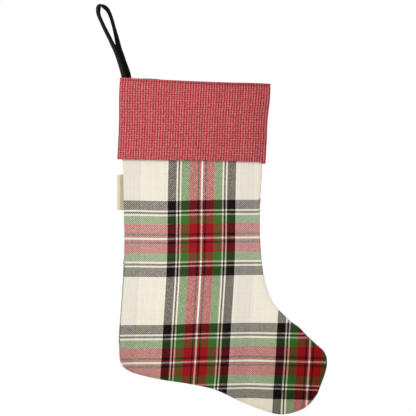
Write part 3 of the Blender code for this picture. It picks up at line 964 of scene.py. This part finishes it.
def strap_strip(places):
    """Points, faces and cloth coordinates of one closed length of strap."""
    points = []
    uvs = []
    travelled = 0.0
    previous = None
    for place in places:
        centre, _, across, normal, half, thick = strap_frame(place)
        if previous is not None:
            travelled += (centre - previous).length
        previous = centre
        for aside, height in STRAP_SECTION:
            points.append(centre + across * (aside * half) + normal * (height * thick))
            uvs.append((aside * half + (STRAP_FACE_SHIFT if height < 0 else 0.0), travelled))
    size = len(STRAP_SECTION)
    faces = grid_faces(len(places), size, close_columns=True)
    return points, faces + end_caps(size, len(points)), uvs


def strap_object(name, spans):
    """One object from one or more lengths of the strap."""
    strips = [
        strap_strip([low + (high - low) * i / count for i in range(count + 1)])
        for low, high, count in spans
    ]
    uvs = [uv for strip in strips for uv in strip[2]]
    return face_outwards(mesh_object(name, *joined(strip[:2] for strip in strips), uvs))


def stitch_points(centre, way, normal, length, radius):
    """A small lentil of thread lying on the cloth."""
    side = way.cross(normal).normalized()
    points = []
    for i in range(STITCH_RINGS):
        share = i / (STITCH_RINGS - 1)
        wide = radius * (0.35 + 0.65 * math.sin(math.pi * share))
        height = radius * (0.9 * math.sin(math.pi * share) - 0.5)
        middle = centre + way * (share - 0.5) * length + normal * height
        for k in range(STITCH_SIDES):
            turn = 2 * math.pi * k / STITCH_SIDES
            points.append(middle + side * (wide * math.cos(turn)) + normal * (wide * math.sin(turn)))
    faces = grid_faces(STITCH_RINGS, STITCH_SIDES, close_columns=True)
    return points, faces + end_caps(STITCH_SIDES, len(points))


def stitches_object(name, stitches):
    """Many stitches as one object; each is (centre, way, normal, length, radius)."""
    return face_outwards(mesh_object(name, *joined(stitch_points(*stitch) for stitch in stitches)))


def spaced(points, spacing):
    """Numbers of the points at even distances along a line of them."""
    travelled = 0.0
    due = spacing / 2
    found = []
    for i in range(1, len(points)):
        travelled += (points[i] - points[i - 1]).length
        if travelled >= due:
            due += spacing
            found.append(i)
    return found


def strap_stitches(low, high):
    """Stitches in both grooves of one length of the strap, on both faces."""
    spacing, length, radius = STRAP_THREAD
    found = []
    step = (high - low) / STRAP_STITCH_STEPS
    frames = [strap_frame(low + step * i) for i in range(STRAP_STITCH_STEPS + 1)]
    for i in spaced([frame[0] for frame in frames], spacing):
        centre, way, across, normal, half, thick = frames[i]
        for edge in (-GROOVE_PLACE, GROOVE_PLACE):
            for face in (-1, 1):
                spot = centre + across * (edge * half) + normal * (face * GROOVE_HEIGHT * thick)
                found.append((spot, way, normal * face, length, radius))
    return found


def bend(obj):
    """Bakes a piece's placement into its mesh."""
    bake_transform(obj)


def build_strap(material, thread):
    """The strap loop in two pieces, each with its stitches."""
    right, left = split_places()
    upper = strap_object("strap_loop", [(right, left, LOOP_STEPS)])
    lower = strap_object("strap_base", [(0.0, right, TAIL_STEPS), (left, LAST_STRAP_ROW, TAIL_STEPS)])
    upper_stitches = stitches_object("strap_loop_stitches", strap_stitches(right, left))
    lower_found = strap_stitches(0.0, right) + strap_stitches(left, LAST_STRAP_ROW)
    lower_stitches = stitches_object("strap_base_stitches", lower_found)
    dress(upper, material, "strap_cloth", "loop_eye", "loop_neck")
    dress(lower, material, "strap_cloth", "loop_tail")
    for obj in (upper_stitches, lower_stitches):
        dress(obj, thread, "black_thread")
    for obj in (upper, upper_stitches):
        bend(obj)
    for obj in (lower, lower_stitches):
        bend(obj)


# ---- Label

LABEL_ROWS = 28
LABEL_STEPS = 8
LABEL_HALF_DEPTH = 0.52


def build_label(material):
    """The blank folded label: two plies with a soft fold at the outer edge."""
    low, high = (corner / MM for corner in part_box("side_label"))
    fold_x, bottom, top = low.x, low.z, high.z
    root_x = high.x + 3.4
    flat = [root_x - (root_x - fold_x - 0.6) * i / LABEL_STEPS for i in range(LABEL_STEPS + 1)]
    section = [(x, -LABEL_HALF_DEPTH) for x in flat]
    for degrees in (200, 235, 270, 305, 340):
        angle = math.radians(degrees - 270)
        section.append((fold_x + 0.6 - 0.62 * math.cos(angle), LABEL_HALF_DEPTH * math.sin(angle)))
    section += [(x, LABEL_HALF_DEPTH) for x in reversed(flat)]
    section += [(root_x, 0.14), (fold_x + 0.75, 0.14), (fold_x + 0.75, -0.14), (root_x, -0.14)]
    points = []
    uvs = []
    for row in range(LABEL_ROWS + 1):
        share = row / LABEL_ROWS
        z = top + (bottom - top) * share
        for x, y in section:
            away = (root_x - x) / (root_x - fold_x)
            curl = away * away * (0.9 * math.sin(2.4 * share + 0.4) - 0.5)
            lean = 0.35 * away * math.sin(5.0 * share)
            points.append(Vector((x - away * 0.5, y - curl, z + lean * 0.3 - 0.9 * share)))
            uvs.append((x - fold_x + (LABEL_FACE_SHIFT if y > 0 else 0.0), z))
    size = len(section)
    faces = grid_faces(LABEL_ROWS + 1, size, close_columns=True) + end_caps(size, len(points))
    obj = face_outwards(mesh_object("label_tab", points, faces, uvs))
    dress(obj, material, "label_tape", "side_label")
    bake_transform(obj)


# ---- Seam and mouth stitches

SEAM_STEPS = 1600
MOUTH_STITCHES = 92
MOUTH_LINE = (0.95, 7.0)  # inset and drop
LINING_STITCHES = 150
TACK_STITCHES = 14


def sew(name, stitches, thread, slot, node):
    """A line of stitches that rides on the stocking."""
    dress(stitches_object(name, stitches), thread, slot, node, body="stocking")


def build_seam_stitches(pale):
    """Stitches along the side seam."""
    spacing, length, radius = SEAM_THREAD
    stitches = []
    for step in (0.0, 1.0):
        line = [panel_point(-1, step, 0.3 + (LAST_ROW - 0.4) * i / SEAM_STEPS) for i in range(SEAM_STEPS)]
        for i in spaced(line, spacing):
            way = (line[i] - line[i - 1]).normalized()
            out = Vector((2 * step - 1, -1.2, 0.0))
            out = (out - way * out.dot(way)).normalized()
            stitches.append((line[i], way, out, length, radius))
    sew("side_seam_stitches", stitches, pale, "pale_thread", "side_seam_thread")


def build_mouth_stitches(red):
    """Stitches in the groove under the top fold of the cuff."""
    stitches = []
    for side in (-1, 1):
        for i in range(1, MOUTH_STITCHES):
            share = i / MOUTH_STITCHES
            here = cuff_point(side, MOUTH_LINE[0], share, MOUTH_LINE[1], 0.0)
            ahead = cuff_point(side, MOUTH_LINE[0], min(1.0, share + 0.004), MOUTH_LINE[1], 0.0)
            way = (ahead - here).normalized()
            out = Vector((-way.y, way.x, 0.0)).normalized()
            if out.y * side < 0:
                out = -out
            stitches.append((here, way, out, *MOUTH_THREAD))
    sew("mouth_stitches", stitches, red, "red_thread", "mouth_stitch_thread")


def build_hidden_stitches(black):
    """The lining's own seam and the tack that holds the strap's ends."""
    stitches = []
    reach = (LAST_ROW - 0.6) / LINING_STITCHES
    for step in (0.0, 1.0):
        for i in range(1, LINING_STITCHES):
            here = panel_point(-1, step, reach * i, 2.1)
            ahead = panel_point(-1, step, reach * (i + 1), 2.1)
            stitches.append((here, (ahead - here).normalized(), Vector((0.0, 1.0, 0.0)), *LINING_THREAD))
    sew("lining_seam_stitches", stitches, black, "black_thread", "lining_seam_thread")

    tack = []
    for i in range(TACK_STITCHES):
        x = 33.4 + 0.75 * i
        way = Vector((0.5 if i % 2 else -0.5, 0.0, 1.0)).normalized()
        for side in (-1, 1):
            tack.append((Vector((x, side * 2.5, -117.5)), way, Vector((0.0, side, 0.0)), *TACK_THREAD))
    sew("loop_tack_stitches", tack, black, "black_thread", "loop_tack_thread")


# ---- Studio

SURROUND_LIGHT = 0.74
KEY_POWER = 44.0
KEY_PLACE = Vector((-0.8, -2.9, 1.4))
KEY_TARGET = Vector((0.16, 0.0, -0.30))
FLOOR_GLOW = 0.30


def light_world():
    """A white surround that lights evenly and softly."""
    world = bpy.data.worlds.new("studio")
    bpy.context.scene.world = world
    world.use_nodes = True
    tree = world.node_tree
    background = tree.nodes["Background"]
    background.inputs[0].default_value = (1.0, 1.0, 1.0, 1.0)
    path = tree.nodes.new("ShaderNodeLightPath")
    mix = tree.nodes.new("ShaderNodeMix")
    mix.data_type = "FLOAT"
    mix.inputs[2].default_value = SURROUND_LIGHT
    mix.inputs[3].default_value = 1.0
    tree.links.new(path.outputs["Is Camera Ray"], mix.inputs["Factor"])
    tree.links.new(mix.outputs[0], background.inputs[1])


def build_studio():
    """Floor, light and camera."""
    light_world()
    light = bpy.data.lights.new("key", "AREA")
    light.size = 1.3
    light.energy = KEY_POWER
    lamp = link("key", light)
    lamp.location = KEY_PLACE
    lamp.rotation_mode = "QUATERNION"
    lamp.rotation_quaternion = (KEY_TARGET - KEY_PLACE).to_track_quat("-Z", "Y")
    floor_mesh = bpy.data.meshes.new("floor")
    reach = 10.0
    depth = -1.6
    floor_mesh.from_pydata(
        [(-reach, -reach, depth), (reach, -reach, depth), (reach, reach, depth), (-reach, reach, depth)],
        [], [(0, 1, 2, 3)],
    )
    floor = link("floor", floor_mesh)
    nodes = Nodes("floor_paint")
    grain = nodes.noise(30.0, 2.0)
    colour = nodes.mix(grain, (0.90, 0.90, 0.895), (0.93, 0.93, 0.925))
    seen = nodes.add("ShaderNodeLightPath").outputs["Is Camera Ray"]
    nodes.put(nodes.shader.inputs["Emission Strength"], nodes.math("MULTIPLY", seen, FLOOR_GLOW))
    floor.data.materials.append(nodes.finish(colour, 0.9, nodes.bump(grain, 0.1, 0.2)))

    camera_data = bpy.data.cameras.new("camera")
    camera_data.lens = 200.0
    camera_data.clip_end = 50.0
    camera = link("camera", camera_data)
    frame_width = 0.628
    distance = frame_width * camera_data.lens / camera_data.sensor_width
    camera.location = (0.1602, -distance - 0.010, -0.3043)
    camera.rotation_euler = (math.pi / 2, 0.0, 0.0)
    bpy.context.scene.camera = camera
    bpy.context.scene.view_settings.view_transform = "Standard"


# ---- Assembly

plaid = plaid_material("plaid_cloth_woven")
cuff_cloth = cuff_material("cuff_cloth_woven")
lining_cloth = lining_material("lining_cloth_woven")
strap_cloth = strap_material("strap_cloth_woven")
label_tape = label_material("label_tape_woven")
pale_thread = thread_material("pale_thread_twisted", (0.80, 0.77, 0.69), (0.90, 0.87, 0.80), 0.6)
red_thread = thread_material("red_thread_twisted", (0.52, 0.13, 0.16), (0.62, 0.20, 0.22), 0.55)
black_thread = thread_material("black_thread_twisted", (0.03, 0.03, 0.03), (0.09, 0.088, 0.085), 0.6)

build_panels(plaid)
build_lining(lining_cloth)
build_cuff(cuff_cloth)
build_lining_hem(lining_cloth)
build_strap(strap_cloth, black_thread)
build_label(label_tape)
build_seam_stitches(pale_thread)
build_mouth_stitches(red_thread)
build_hidden_stitches(black_thread)

build_studio()
